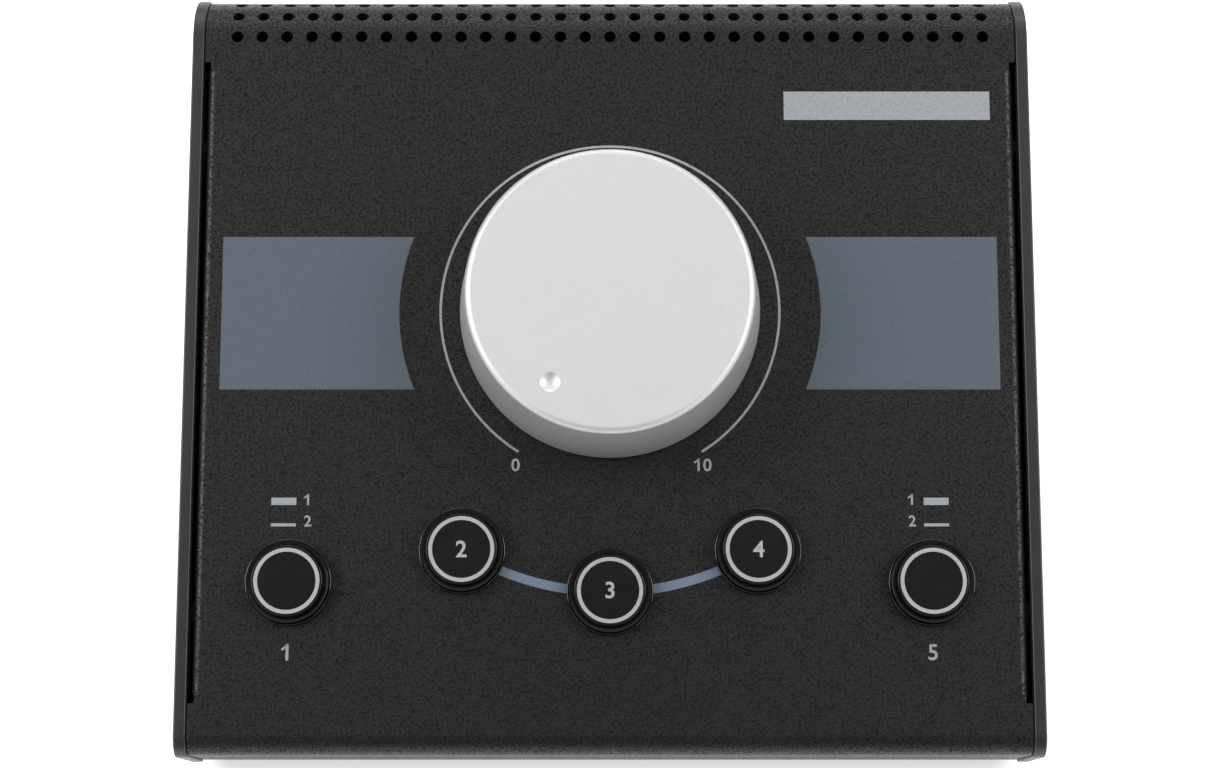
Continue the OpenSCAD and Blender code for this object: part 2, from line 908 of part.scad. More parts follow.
module bezel(b) {
    color(gloss_black)
        on_panel(b[0], b[1])
            difference() {
                union() {
                    rotate_extrude($fn = 96)
                        polygon([
                            [bezel_bore_r - 0.2, 0],
                            [bezel_r, 0],
                            [bezel_r, bezel_h - 0.35],
                            [bezel_r - 0.35, bezel_h],
                            [bezel_bore_r - 0.2, bezel_h]
                        ]);
                    translate([0, 0, -sheet_t - bezel_lip_h])
                        cylinder(h = sheet_t + bezel_lip_h, r = sleeve_r);
                    translate([0, 0, -sheet_t - slip - bezel_lip_h])
                        cylinder(h = bezel_lip_h, r = sleeve_r + bezel_lip);
                }
                translate([0, 0, -sheet_t - bezel_lip_h - past])
                    cylinder(h = sheet_t + bezel_lip_h + bezel_h + 2 * past, r = bezel_bore_r);
            }
}

module cap(b) {
    edge = 0.35;
    color(gloss_black)
        on_panel(b[0], b[1])
            difference() {
                union() {
                    difference() {
                        rotate_extrude($fn = 96)
                            polygon([
                                [0, skirt_bottom],
                                [cap_r, skirt_bottom],
                                [cap_r, cap_top - edge],
                                [cap_r - edge, cap_top],
                                [0, cap_top]
                            ]);
                        translate([0, 0, skirt_bottom - past])
                            cylinder(h = cap_top - cap_roof - skirt_bottom + past, r = cap_r - cap_wall);
                    }
                    translate([0, 0, boss_bottom])
                        cylinder(h = cap_top - cap_roof / 2 - boss_bottom, r = boss_r);
                }
                translate([0, 0, boss_bottom - past])
                    block(plunger_w + 2 * slip, plunger_top - boss_bottom + past);
            }
}

module plunger(b) {
    color("ivory")
        on_panel(b[0], b[1]) {
            translate([0, 0, stop_top - stop_t - stem_tail])
                block(plunger_w, plunger_top - stop_top + stop_t + stem_tail);
            translate([0, 0, stop_top - stop_t])
                block(stop_w, stop_t);
        }
}

module return_spring(b) {
    color(zinc)
        on_panel(b[0], b[1], switch_floor)
            ring(spring_r, spring_r - spring_wall, stop_top - stop_t - switch_floor);
}

module switch_housings() {
    color([0.16, 0.16, 0.18])
        for (b = buttons)
            on_panel(b[0], b[1], -board_depth)
                difference() {
                    block(switch_w, switch_h);
                    translate([0, 0, switch_wall])
                        block(switch_w - 2 * switch_wall, switch_h - 2 * switch_wall);
                    translate([0, 0, switch_wall])
                        block(plunger_w + 0.4, switch_h);
                }
}

// ---- Sockets ----

module socket(s) {
    z = base_z + s[1];
    color([0.12, 0.12, 0.12])
        difference() {
            union() {
                translate([s[0] - socket_w / 2, socket_back, z - socket_h / 2])
                    cube([socket_w, socket_d, socket_h]);
                bar_y(s[0], z, socket_bush_r, rear_back - past, socket_mouth);
            }
            bar_y(s[0], z, socket_bore_r, socket_back + socket_end, socket_mouth + past);
        }
}

module mini_socket() {
    color([0.12, 0.12, 0.12])
        difference() {
            union() {
                translate([-mini_w / 2, mini_back, mini_z - mini_w / 2])
                    cube([mini_w, mini_d, mini_w]);
                bar_y(0, mini_z, mini_bush_r, rear_back - past, mini_mouth);
            }
            bar_y(0, mini_z, mini_bore_r, mini_back + socket_end, mini_mouth + past);
        }
}

module socket_washers() {
    color(zinc)
        for (s = sockets)
            difference() {
                bar_y(s[0], base_z + s[1], socket_washer_r, rear_face, rear_face + socket_washer_t);
                bar_y(s[0], base_z + s[1], socket_bush_r + slip, rear_back, rear_y);
            }
}

module socket_nuts() {
    low = rear_face + socket_washer_t;
    color(zinc)
        for (s = sockets)
            difference() {
                hex_y(s[0], base_z + s[1], socket_nut_af, low, low + socket_nut_t);
                bar_y(s[0], base_z + s[1], socket_bush_r + slip, rear_back, rear_y);
            }
}

module mini_nut() {
    color(zinc)
        difference() {
            bar_y(0, mini_z, mini_nut_r, rear_face, rear_face + mini_nut_t);
            bar_y(0, mini_z, mini_bush_r + slip, rear_back, rear_y);
        }
}

module socket_pins() {
    color(zinc)
        for (s = sockets, i = [-1 : 1])
            translate([s[0] + i * pin_step - pin_w / 2, jack_board_y - pin_out, base_z + s[1] - pin_w / 2])
                cube([pin_w, pin_out, pin_w]);
}

base_pan();
left_cheek();
right_cheek();
top_cover();
rear_panel();
rubber_feet();
foot_screws();
cheek_screws();
cheek_spacers();
pan_screws();
control_board();
board_standoffs();
jack_board();
ribbon_cable();
ribbon_headers();
pot_housing();
pot_bushing();
pot_washer();
pot_nut();
pot_terminals();
pot_track();
switch_housings();
bezel(buttons[0]);  // bezel_source
bezel(buttons[1]);  // bezel_mono
bezel(buttons[2]);  // bezel_mute
bezel(buttons[3]);  // bezel_dim
bezel(buttons[4]);  // bezel_monitor
return_spring(buttons[0]);  // spring_source
return_spring(buttons[1]);  // spring_mono
return_spring(buttons[2]);  // spring_mute
return_spring(buttons[3]);  // spring_dim
return_spring(buttons[4]);  // spring_monitor
socket(sockets[0]);  // socket_1
socket(sockets[1]);  // socket_2
socket(sockets[2]);  // socket_3
socket(sockets[3]);  // socket_4
socket(sockets[4]);  // socket_5
socket(sockets[5]);  // socket_6
socket(sockets[6]);  // socket_7
socket(sockets[7]);  // socket_8
mini_socket();
socket_washers();
socket_nuts();
mini_nut();
socket_pins();
knob_shell();
knob_hub();
pot_shaft();
pot_wiper();
cap(buttons[0]);  // cap_source
cap(buttons[1]);  // cap_mono
cap(buttons[2]);  // cap_mute
cap(buttons[3]);  // cap_dim
cap(buttons[4]);  // cap_monitor
plunger(buttons[0]);  // plunger_source
plunger(buttons[1]);  // plunger_mono
plunger(buttons[2]);  // plunger_mute
plunger(buttons[3]);  // plunger_dim
plunger(buttons[4]);  // plunger_monitor
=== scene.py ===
import json
import math

import bmesh
import bpy
from mathutils import Matrix, Vector


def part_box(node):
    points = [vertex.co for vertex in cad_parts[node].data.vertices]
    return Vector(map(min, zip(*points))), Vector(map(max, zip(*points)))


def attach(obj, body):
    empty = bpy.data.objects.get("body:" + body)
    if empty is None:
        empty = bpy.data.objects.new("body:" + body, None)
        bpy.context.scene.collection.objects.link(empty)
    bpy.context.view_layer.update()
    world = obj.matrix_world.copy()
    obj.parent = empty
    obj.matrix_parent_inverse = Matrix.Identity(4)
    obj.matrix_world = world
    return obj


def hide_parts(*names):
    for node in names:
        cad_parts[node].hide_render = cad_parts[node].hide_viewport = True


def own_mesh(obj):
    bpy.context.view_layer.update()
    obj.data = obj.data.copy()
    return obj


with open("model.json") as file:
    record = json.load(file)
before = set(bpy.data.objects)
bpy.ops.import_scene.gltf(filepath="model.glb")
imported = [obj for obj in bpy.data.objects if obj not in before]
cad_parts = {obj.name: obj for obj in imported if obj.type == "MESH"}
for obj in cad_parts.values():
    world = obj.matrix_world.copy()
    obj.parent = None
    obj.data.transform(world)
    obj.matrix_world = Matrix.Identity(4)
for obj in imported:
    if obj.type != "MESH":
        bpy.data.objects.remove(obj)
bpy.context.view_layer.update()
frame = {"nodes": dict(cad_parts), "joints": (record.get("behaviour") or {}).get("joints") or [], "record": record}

mm = 0.001  # every piece is modelled in millimetres and brought to metres when it is placed
weld = 0.001  # points nearer than this are one point, in millimetres
past = 0.01  # how far a test for a place reaches, in millimetres

# The knob's joint gives the control panel: its origin, and u across, v up the slope, n out of it
knobJoint = [joint for joint in frame["joints"] if joint["name"] == "volume_turn"][0]
panelOrigin = Vector(knobJoint["pos_m"])
panelNormal = -Vector(knobJoint["axis"]).normalized()
panelUp = panelNormal.cross(Vector((1, 0, 0)))
panelPlace = Matrix.Translation(panelOrigin) @ Matrix(
    ((1, 0, 0), panelUp, panelNormal)
).transposed().to_4x4()
tilt = math.atan2(panelUp.z, panelUp.y)


def onPanel(u=0, v=0, n=0):
    return panelPlace @ Matrix.Translation(Vector((u, v, n)) * mm)


def sidePoint(v, n):  # a point of the side view in millimetres, as (y, z)
    point = onPanel(0, v, n).translation / mm
    return point.y, point.z


# Sizes that the pieces share, in millimetres
case = {
    "width": 140,
    "cheek": 2,
    "cheekProud": 0.39,  # how far the cheeks stand past the cover
    "sheet": 1.2,
    "seam": 0.1,  # between the cover's edges and the cheeks
    "slot": 0.6,  # between a folded side and its cheek
    "slotFront": -64.35,
    "slotRear": 42.5,
    "relief": 1.2,  # the notch at each end of a fold
    "sideBend": 1.45,
    "sideDepth": 9,
    "front": -72.5,
    "frontBend": 3.2,
    "frontDepth": 20.2,
    "rearTangent": 46.2,
    "rearBend": 9,
    "rearLip": 4.3,
    "coatEdge": 0.15,
}
buttonNames = ["source", "mono", "mute", "dim", "monitor"]


def capPlace(name):  # where a button's axis meets the panel, from its cap's box
    low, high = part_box("cap_" + name)
    local = panelPlace.inverted() @ ((low + high) / 2)
    return local.x / mm, local.y / mm


buttonPlaces = {name: capPlace(name) for name in buttonNames}
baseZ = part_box("base_pan")[0].z / mm
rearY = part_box("top_cover")[1].y / mm

# ---- Camera and room ----

view = {
    "lens": 79.4,
    "sensor": 36,
    "target": (0, -12.3, 0),  # on the panel
    "from": (0, -91.4, 433.9),  # on the panel's own axes
}
camera = bpy.data.objects.new("camera", bpy.data.cameras.new("camera"))
bpy.context.scene.collection.objects.link(camera)
camera.data.lens = view["lens"]
camera.data.sensor_width = view["sensor"]
camera.data.clip_start = 0.01
camera.location = onPanel(*view["from"]).translation
sightLine = onPanel(*view["target"]).translation - camera.location
camera.rotation_euler = sightLine.to_track_quat("-Z", "Y").to_euler()
bpy.context.scene.camera = camera


def deselectAll():
    if bpy.context.mode != "OBJECT":
        bpy.ops.object.mode_set(mode="OBJECT")
    bpy.ops.object.select_all(action="DESELECT")


def activate(piece):
    deselectAll()
    piece.select_set(True)
    bpy.context.view_layer.objects.active = piece


def primitive(kind, scale=None, **settings):
    deselectAll()
    getattr(bpy.ops.mesh, "primitive_" + kind + "_add")(**settings)
    piece = bpy.context.active_object
    if scale:
        piece.scale = scale
    bpy.ops.object.transform_apply(location=True, rotation=True, scale=True)
    return piece


def editing(piece):  # opens a piece in edit mode with nothing selected
    activate(piece)
    bpy.ops.object.mode_set(mode="EDIT")
    bpy.ops.mesh.select_all(action="DESELECT")


def pick(kind, test):  # selects the open piece's vertices, edges or faces that pass a test
    modes = {"verts": "VERT", "edges": "EDGE", "faces": "FACE"}
    bpy.ops.mesh.select_mode(type=modes[kind])
    bpy.ops.mesh.select_all(action="DESELECT")
    mesh = bmesh.from_edit_mesh(bpy.context.active_object.data)
    for element in getattr(mesh, kind):
        if test(element):
            element.select_set(True)
    bmesh.update_edit_mesh(bpy.context.active_object.data)


def near(a, b):
    return abs(a - b) < past


def edgeAt(axis, value):  # an edge that lies wholly at one coordinate
    return lambda edge: all(near(vert.co[axis], value) for vert in edge.verts)


squareOn = 0.9  # the least share of a normal along an axis that counts as facing it


def faceToward(axis, sign, value=None):
    def test(face):
        rightWay = face.normal[axis] * sign > squareOn
        return rightWay and (value is None or near(face.calc_center_median()[axis], value))
    return test


def applyModifier(piece, kind, **settings):
    activate(piece)
    modifier = piece.modifiers.new(kind.lower(), kind)
    for key, value in settings.items():
        setattr(modifier, key, value)
    bpy.ops.object.modifier_apply(modifier=modifier.name)


def bevelEdges(piece, width, segments=3, angle=40):
    applyModifier(piece, "BEVEL", width=width, segments=segments, limit_method="ANGLE",
                  angle_limit=math.radians(angle), use_clamp_overlap=True)


def joined(pieces):
    activate(pieces[0])
    for piece in pieces:
        piece.select_set(True)
    if len(pieces) > 1:
        bpy.ops.object.join()
    return bpy.context.active_object


def combine(piece, other, operation):  # the other piece is used up
    applyModifier(piece, "BOOLEAN", object=other, operation=operation, solver="EXACT")
    bpy.data.objects.remove(other)


def cutWith(piece, cutters):  # takes the cutters' shapes out of a piece
    combine(piece, joined(cutters), "DIFFERENCE")
    editing(piece)
    bpy.ops.mesh.select_all(action="SELECT")
    bpy.ops.mesh.remove_doubles(threshold=weld)
    bpy.ops.object.mode_set(mode="OBJECT")


def copyOf(piece):  # a copy with its own mesh
    copy = piece.copy()
    copy.data = piece.data.copy()
    bpy.context.scene.collection.objects.link(copy)
    return copy


def repeated(pattern, places):  # copies of a pattern at its places, as one mesh in millimetres
    copies = [copyOf(pattern) for place in places]
    for copy, place in zip(copies, places):
        copy.matrix_world = place
    bpy.data.objects.remove(pattern)
    deselectAll()
    for copy in copies:
        copy.select_set(True)
    bpy.context.view_layer.objects.active = copies[0]
    bpy.ops.object.transform_apply(location=True, rotation=True, scale=True)
    return joined(copies)


smoothing = {"angle": 35, "weight": 80}  # edges sharper than the angle stay sharp


def finishPiece(piece, name, material, place, body="enclosure", stands=()):
    activate(piece)
    piece.name = name
    piece.data.name = name
    piece.matrix_world = place @ Matrix.Scale(mm, 4)
    bpy.ops.object.transform_apply(location=True, rotation=True, scale=True)
    bpy.ops.object.shade_smooth_by_angle(angle=math.radians(smoothing["angle"]))
    applyModifier(piece, "WEIGHTED_NORMAL", keep_sharp=True, weight=smoothing["weight"])
    piece.data.materials.clear()
    piece.data.materials.append(material)
    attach(piece, body)
    if stands:
        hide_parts(*stands)
    return piece


world = Matrix.Identity(4)  # for pieces modelled where they stand

# ---- Materials ----


def linear(hexColour):
    channels = [int(hexColour[i:i + 2], 16) / 255 for i in (1, 3, 5)]
    return [c / 12.92 if c <= 0.04045 else ((c + 0.055) / 1.055) ** 2.4 for c in channels] + [1]


def perSize(size):  # a texture's scale, from the size in millimetres of what it draws
    return 1 / (size * mm)


def addNode(material, kind, values=None, links=None, **settings):
    node = material.node_tree.nodes.new(kind)
    for key, value in settings.items():
        setattr(node, key, value)
    for socket, value in (values or {}).items():
        node.inputs[socket].default_value = value
    for socket, source in (links or {}).items():
        material.node_tree.links.new(source, node.inputs[socket])
    return node


def newMaterial(name, **values):
    material = bpy.data.materials.new(name)
    material.use_nodes = True
    shader = material.node_tree.nodes["Principled BSDF"]
    for socket, value in values.items():
        shader.inputs[socket.replace("_", " ")].default_value = value
    place = addNode(material, "ShaderNodeTexCoord").outputs["Object"]
    return material, shader, place


def noise(material, place, size, detail=2, roughness=0.5):
    node = addNode(material, "ShaderNodeTexNoise", {"Scale": perSize(size), "Detail": detail,
                   "Roughness": roughness}, {"Vector": place})
    return node.outputs["Fac"]


def ramp(material, fac, stops):  # stops are (place, colour or number)
    node = addNode(material, "ShaderNodeValToRGB", links={"Fac": fac})
    while len(node.color_ramp.elements) < len(stops):
        node.color_ramp.elements.new(0.5)
    for element, (position, value) in zip(node.color_ramp.elements, stops):
        element.position = position
        element.color = linear(value) if isinstance(value, str) else [value] * 3 + [1]
    return node.outputs["Color"]


def bumpFrom(material, shader, height, depth):  # depth in millimetres
    bump = addNode(material, "ShaderNodeBump", {"Distance": depth * mm, "Strength": 1},
                   {"Height": height})
    material.node_tree.links.new(bump.outputs["Normal"], shader.inputs["Normal"])


def wire(material, source, shader, socket):
    material.node_tree.links.new(source, shader.inputs[socket])


def powderCoat():  # polyester powder baked on steel: a fine wrinkle with duller, darker specks
    look = {"light": "#131313", "dark": "#070707", "mottle": 0.36, "grain": 0.26, "depth": 0.04}
    specks, ground = 0.4, 0.55  # where the mottle turns from speck to ground
    material, shader, place = newMaterial("texturedPowderCoat", IOR=1.46)
    mottle = noise(material, place, look["mottle"], 2, 0.6)
    for socket, inSpeck, onGround in (("Base Color", look["dark"], look["light"]),
                                      ("Roughness", 0.6, 0.38), ("Specular IOR Level", 0.2, 0.5)):
        shade = ramp(material, mottle, [(specks, inSpeck), (ground, onGround)])
        wire(material, shade, shader, socket)
    bumpFrom(material, shader, noise(material, place, look["grain"], 2), look["depth"])
    return material


def satinCoat():  # smooth satin powder on aluminium plate: an even sheen with faint orange peel
    look = {"colour": "#1c1c1d", "other": "#202021", "cloud": 6, "peel": 0.8, "depth": 0.012}
    material, shader, place = newMaterial("satinPowderCoat", Roughness=0.4, IOR=1.5)
    tone = ramp(material, noise(material, place, look["cloud"], 3),
                [(0.3, look["colour"]), (0.7, look["other"])])
    wire(material, tone, shader, "Base Color")
    bumpFrom(material, shader, noise(material, place, look["peel"], 2), look["depth"])
    return material


def anodised():  # bead-blasted, clear-anodised aluminium: a fine frosted grain and a wide soft glow
    look = {"colour": "#dcdcdc", "shade": "#d2d2d2", "grit": 0.16, "depth": 0.01, "cloud": 3,
            "dull": 0.56, "bright": 0.54}
    material, shader, place = newMaterial("blastedAnodisedAluminium", Metallic=1.0)
    grit = noise(material, place, look["grit"], 2)
    tone = ramp(material, grit, [(0.35, look["shade"]), (0.65, look["colour"])])
    wire(material, tone, shader, "Base Color")
    cloud = ramp(material, noise(material, place, look["cloud"], 3),
                 [(0.3, look["dull"]), (0.7, look["bright"])])
    wire(material, cloud, shader, "Roughness")
    bumpFrom(material, shader, grit, look["depth"])
    return material


def glossPlastic(name, colour, roughness, sheen):  # ABS off a polished tool: clear reflections
    look = {"haze": 2.5, "hazeMore": 0.06, "ripple": 3, "depth": 0.004}
    material, shader, place = newMaterial(name, IOR=1.54, Specular_IOR_Level=sheen,
                                          Base_Color=linear(colour))
    haze = ramp(material, noise(material, place, look["haze"], 3),
                [(0.3, roughness), (0.7, roughness + look["hazeMore"])])
    wire(material, haze, shader, "Roughness")
    bumpFrom(material, shader, noise(material, place, look["ripple"], 1), look["depth"])
    return material


def mattPlastic(name, colour, other, grain=0.3):  # moulded off a sparked tool: a fine dull grain
    material, shader, place = newMaterial(name, Roughness=0.55, IOR=1.53)
    grit = noise(material, place, grain, 2)
    wire(material, ramp(material, grit, [(0.3, colour), (0.7, other)]), shader, "Base Color")
    bumpFrom(material, shader, grit, 0.015)
    return material


def screenInk(name, colour, worn):  # two-part ink on the coat: flat, with the coat's grain under it
    look = {"cover": 0.35, "grain": 0.28, "depth": 0.02}
    material, shader, place = newMaterial(name, IOR=1.5)
    cover = noise(material, place, look["cover"], 2)
    wire(material, ramp(material, cover, [(0.3, worn), (0.46, colour)]), shader, "Base Color")
    wire(material, ramp(material, cover, [(0.3, 0.55), (0.6, 0.46)]), shader, "Roughness")
    bumpFrom(material, shader, noise(material, place, look["grain"], 2), look["depth"])
    return material


def platedMetal(name, colour, other, roughness):  # barrel-plated or plain metal: soft streaks
    look = {"streak": 0.4, "duller": 0.12, "depth": 0.006}
    material, shader, place = newMaterial(name, Metallic=1.0)
    tone = noise(material, place, look["streak"], 3)
    dull = ramp(material, tone, [(0.3, roughness), (0.7, roughness + look["duller"])])
    wire(material, ramp(material, tone, [(0.3, colour), (0.7, other)]), shader, "Base Color")
    wire(material, dull, shader, "Roughness")
    bumpFrom(material, shader, tone, look["depth"])
    return material


def solderMask():  # green lacquer over copper tracks: lighter lines where copper lies under it
    look = {"copper": "#2f7a4a", "field": "#1d5a36", "other": "#1a5232", "pitch": 4, "depth": 0.03}
    material, shader, place = newMaterial("greenSolderMask", Roughness=0.3, IOR=1.52)
    tracks = addNode(material, "ShaderNodeTexBrick", {
        "Scale": perSize(look["pitch"]), "Mortar Size": 0.06, "Color1": linear(look["field"]),
        "Color2": linear(look["other"]), "Mortar": linear(look["copper"])}, {"Vector": place})
    wire(material, tracks.outputs["Color"], shader, "Base Color")
    bumpFrom(material, shader, tracks.outputs["Fac"], look["depth"])
    return material


finishes = {
    "cover": powderCoat(),
    "cheek": satinCoat(),
    "aluminium": anodised(),
    "glossBlack": glossPlastic("polishedBlackAbs", "#050505", 0.08, 1.0),
    "capBlack": glossPlastic("satinBlackAbs", "#070707", 0.24, 0.35),
    "paleInk": screenInk("paleGreyScreenInk", "#8f9398", "#787d82"),
    "capInk": screenInk("whiteGreyPadInk", "#9da0a5", "#909498"),
    "blueInk": screenInk("blueGreyScreenInk", "#4b555f", "#424c55"),
    "bandInk": screenInk("paleBlueScreenInk", "#617080", "#566473"),
    "blackNylon": mattPlastic("mouldedBlackNylon", "#121213", "#1a1a1b"),
    "rubber": mattPlastic("mouldedBlackRubber", "#101010", "#1b1b1b", 0.5),
    "ivory": mattPlastic("naturalAcetal", "#dcd8c8", "#e2dfd2"),
    "grey": mattPlastic("greyVinyl", "#8b8c8e", "#96979a"),
    "phenolic": mattPlastic("brownPhenolic", "#4a3220", "#5a3e28"),
    "zinc": platedMetal("brightZincPlate", "#c2c4c6", "#aeb0b3", 0.3),
    "nickel": platedMetal("brightNickelPlate", "#bfbdb7", "#aeaba4", 0.2),
    "blackOxide": platedMetal("blackOxideSteel", "#2a2a2b", "#1c1c1d", 0.34),
    "brass": platedMetal("springBrass", "#c79a4b", "#b5883c", 0.3),
    "board": solderMask(),
}
slotFinishes = {
    "cover_coat": "cover", "cheek_coat": "cheek", "knob_aluminium": "aluminium",
    "gloss_black_plastic": "glossBlack", "hub_plastic": "blackNylon", "plunger_plastic": "ivory",
    "board_laminate": "board", "zinc_steel": "zinc", "black_screws": "blackOxide",
    "foot_rubber": "rubber", "socket_plastic": "blackNylon", "control_case": "zinc",
    "track_laminate": "phenolic", "wiper_brass": "brass", "ribbon_grey": "grey",
}
nodeFinishes = {"cheek_spacers": "blackOxide"}
for entry in frame["record"]["subparts"]:
    node = frame["nodes"][entry["node"]]
    finish = nodeFinishes.get(entry["node"], slotFinishes[entry["material_slot"]])
    node.data.materials.clear()
    node.data.materials.append(finishes[finish])
print("materials made")

# ---- Folded cover ----

sideLine = case["width"] / 2 - case["cheek"]
blank = {  # lines on the cover's sheet while it is flat
    "edge": sideLine - case["seam"],
    "notch": sideLine - case["slot"] - case["relief"] / 2,
    "bend": sideLine - case["slot"] - case["sideBend"],
    "front": case["front"] + case["frontBend"],
    "rear": case["rearTangent"],
    "low": case["slotFront"] + case["relief"],
    "high": case["slotRear"] - case["relief"],
}
bendSteps = {"side": 8, "rear": 28, "front": 14}


def flatBlank():  # the flat sheet with its corners notched beside the sides that fold
    piece = primitive("plane", size=1, scale=(2 * blank["edge"], blank["rear"] - blank["front"], 1),
                      location=(0, (blank["rear"] + blank["front"]) / 2, 0))
    editing(piece)
    alongLines = [((s * x, 0, 0), (1, 0, 0)) for x in (blank["bend"], blank["notch"]) for s in (-1, 1)]
    acrossLines = [((0, y, 0), (0, 1, 0))
                   for y in (case["slotFront"], blank["low"], blank["high"], case["slotRear"])]
    for place, normal in alongLines + acrossLines:
        bpy.ops.mesh.select_all(action="SELECT")
        bpy.ops.mesh.bisect(plane_co=place, plane_no=normal)
    for reach, start, end in ((blank["bend"], blank["low"], blank["high"]),
                              (blank["notch"], case["slotFront"], case["slotRear"])):
        pick("faces", lambda face: abs(face.calc_center_median().x) > reach
             and start < face.calc_center_median().y < end)
        bpy.ops.mesh.delete(type="FACE")
    return piece


def bend(test, centre, axis, angle, steps):  # turns edges round a bend's centre
    pick("edges", test)
    bpy.ops.mesh.spin(steps=steps, angle=angle, center=centre, axis=axis)


def extend(test, step):  # draws the sheet on from edges
    pick("edges", test)
    bpy.ops.mesh.extrude_region_move(TRANSFORM_OT_translate={"value": step})


def foldSide(side):
    across, deep = side * blank["bend"], case["sideBend"]
    bend(lambda edge: edgeAt(0, across)(edge)
         and all(blank["low"] - past < vert.co.y < blank["high"] + past for vert in edge.verts),
         (across, 0, -deep), (0, -side, 0), math.radians(90), bendSteps["side"])
    extend(lambda edge: edgeAt(2, -deep)(edge) and edge.verts[0].co.x * side > 0,
           (0, 0, deep - case["sideDepth"]))


def bendRear():  # past square, so that the lip hangs straight down behind the sloping panel
    line, deep = blank["rear"], case["rearBend"]
    bend(edgeAt(1, line), (0, line, -deep), (1, 0, 0), math.radians(90) + tilt, bendSteps["rear"])
    ontoPanel = panelPlace.inverted()
    end = ontoPanel @ (Vector((0, rearY, sidePoint(line, -deep)[1])) * mm) / mm
    down = ontoPanel.to_3x3() @ Vector((0, 0, -1))
    extend(lambda edge: all((vert.co - end).yz.length < 2 * past for vert in edge.verts),
           down * case["rearLip"])


def bendFront():
    line, deep = blank["front"], case["frontBend"]
    bend(edgeAt(1, line), (0, line, -deep), (-1, 0, 0), math.radians(90), bendSteps["front"])
    extend(lambda edge: edgeAt(1, case["front"])(edge) and edgeAt(2, -deep)(edge),
           (0, 0, deep - case["frontDepth"]))


def foldedCover():
    piece = flatBlank()
    for side in (-1, 1):
        foldSide(side)
    bendRear()
    bendFront()
    bpy.ops.mesh.select_all(action="SELECT")
    bpy.ops.mesh.remove_doubles(threshold=weld)
    bpy.ops.mesh.normals_make_consistent(inside=False)
    bpy.ops.object.mode_set(mode="OBJECT")
    return piece


# The first row's place is in degrees round the rear bend
vents = {"radius": 1, "count": 31, "rows": 3, "pitch": 4.17, "first": 5, "drill": 4}
holes = {"bushing": 4.6, "bezel": 6.6, "drill": 6}


def cutRoundHoles(piece):
    places = [(0, 0, holes["bushing"])] + [(u, v, holes["bezel"]) for u, v in buttonPlaces.values()]
    cutters = [primitive("cylinder", vertices=64, radius=radius, depth=holes["drill"],
                         location=(u, v, 0)) for u, v, radius in places]
    cutWith(piece, cutters)


def cutVents(piece):
    pattern = primitive("cylinder", vertices=24, radius=vents["radius"], depth=vents["drill"])
    cutters = []
    for row in range(vents["rows"]):
        turn = math.radians(vents["first"]) + row * vents["pitch"] / case["rearBend"]
        overBend = Matrix.Translation((0, case["rearTangent"], -case["rearBend"])) @ \
            Matrix.Rotation(-turn, 4, "X") @ Matrix.Translation((0, 0, case["rearBend"]))
        for i in range(vents["count"]):
            cutter = copyOf(pattern)
            across = (i - (vents["count"] - 1) / 2) * vents["pitch"]
            cutter.matrix_world = Matrix.Translation((across, 0, 0)) @ overBend
            cutters.append(cutter)
    bpy.data.objects.remove(pattern)
    cutWith(piece, cutters)


cover = foldedCover()
applyModifier(cover, "SOLIDIFY", thickness=case["sheet"], offset=-1, use_even_offset=True)
bevelEdges(cover, case["coatEdge"], 2, 60)  # the coat rounds the sheet's cut edges; the round holes and vents are cut after it
cutRoundHoles(cover)
cutVents(cover)
finishPiece(cover, "topCover", finishes["cover"], panelPlace, "enclosure", ["top_cover"])
print("cover made")

# ---- Side cheeks ----

cheeks = {"edge": 0.3, "hole": 1.55, "drill": 8, "head": 2.8, "sink": 1.25, "steps": 96}
cheekScrews = {"lowInset": 22.4, "lowHeight": 6, "highAt": (-50, 28), "highDepth": 5.4}


def cheekScrewPoints():  # (y, z) of the four screws of a cheek
    y = rearY - cheekScrews["lowInset"]
    low = [(s * y, baseZ + cheekScrews["lowHeight"]) for s in (-1, 1)]
    return low + [sidePoint(v, -cheekScrews["highDepth"]) for v in cheekScrews["highAt"]]


def cheekPlate(side):
    middle = side * (case["width"] - case["cheek"]) / 2
    discs = []
    for centre, radius in (
            (sidePoint(case["rearTangent"], -case["rearBend"]), case["rearBend"]),
            (sidePoint(case["front"] + case["frontBend"], -case["frontBend"]), case["frontBend"])):
        discs.append(primitive("cylinder", vertices=cheeks["steps"], radius=radius + case["cheekProud"],
                               depth=case["cheek"], location=(middle, *centre),
                               rotation=(0, math.pi / 2, 0)))
    front = case["front"] - case["cheekProud"]
    drop = (sidePoint(front, 0)[1] - baseZ) / math.cos(tilt)
    ends = sidePoint(front, -drop)[0], rearY + case["cheekProud"]
    sole = primitive("plane", size=1, scale=(case["cheek"], ends[1] - ends[0], 1),
                     location=(middle, sum(ends) / 2, baseZ))
    piece = joined(discs + [sole])
    editing(piece)
    bpy.ops.mesh.select_all(action="SELECT")
    bpy.ops.mesh.convex_hull()
    bpy.ops.mesh.select_all(action="SELECT")
    bpy.ops.mesh.normals_make_consistent(inside=False)
    bpy.ops.mesh.dissolve_limited(angle_limit=math.radians(1))
    bpy.ops.object.mode_set(mode="OBJECT")
    bevelEdges(piece, cheeks["edge"])
    cutters = []
    for y, z in cheekScrewPoints():
        outside = side * case["width"] / 2
        cutters.append(primitive("cylinder", vertices=48, radius=cheeks["hole"], depth=cheeks["drill"],
                                 location=(outside, y, z), rotation=(0, math.pi / 2, 0)))
        cutters.append(primitive("cone", vertices=48, radius1=cheeks["hole"],
                                 radius2=2 * cheeks["head"] - cheeks["hole"], depth=2 * cheeks["sink"],
                                 location=(outside, y, z), rotation=(0, side * math.pi / 2, 0)))
    for cutter in cutters:
        cutWith(piece, [cutter])
    return piece


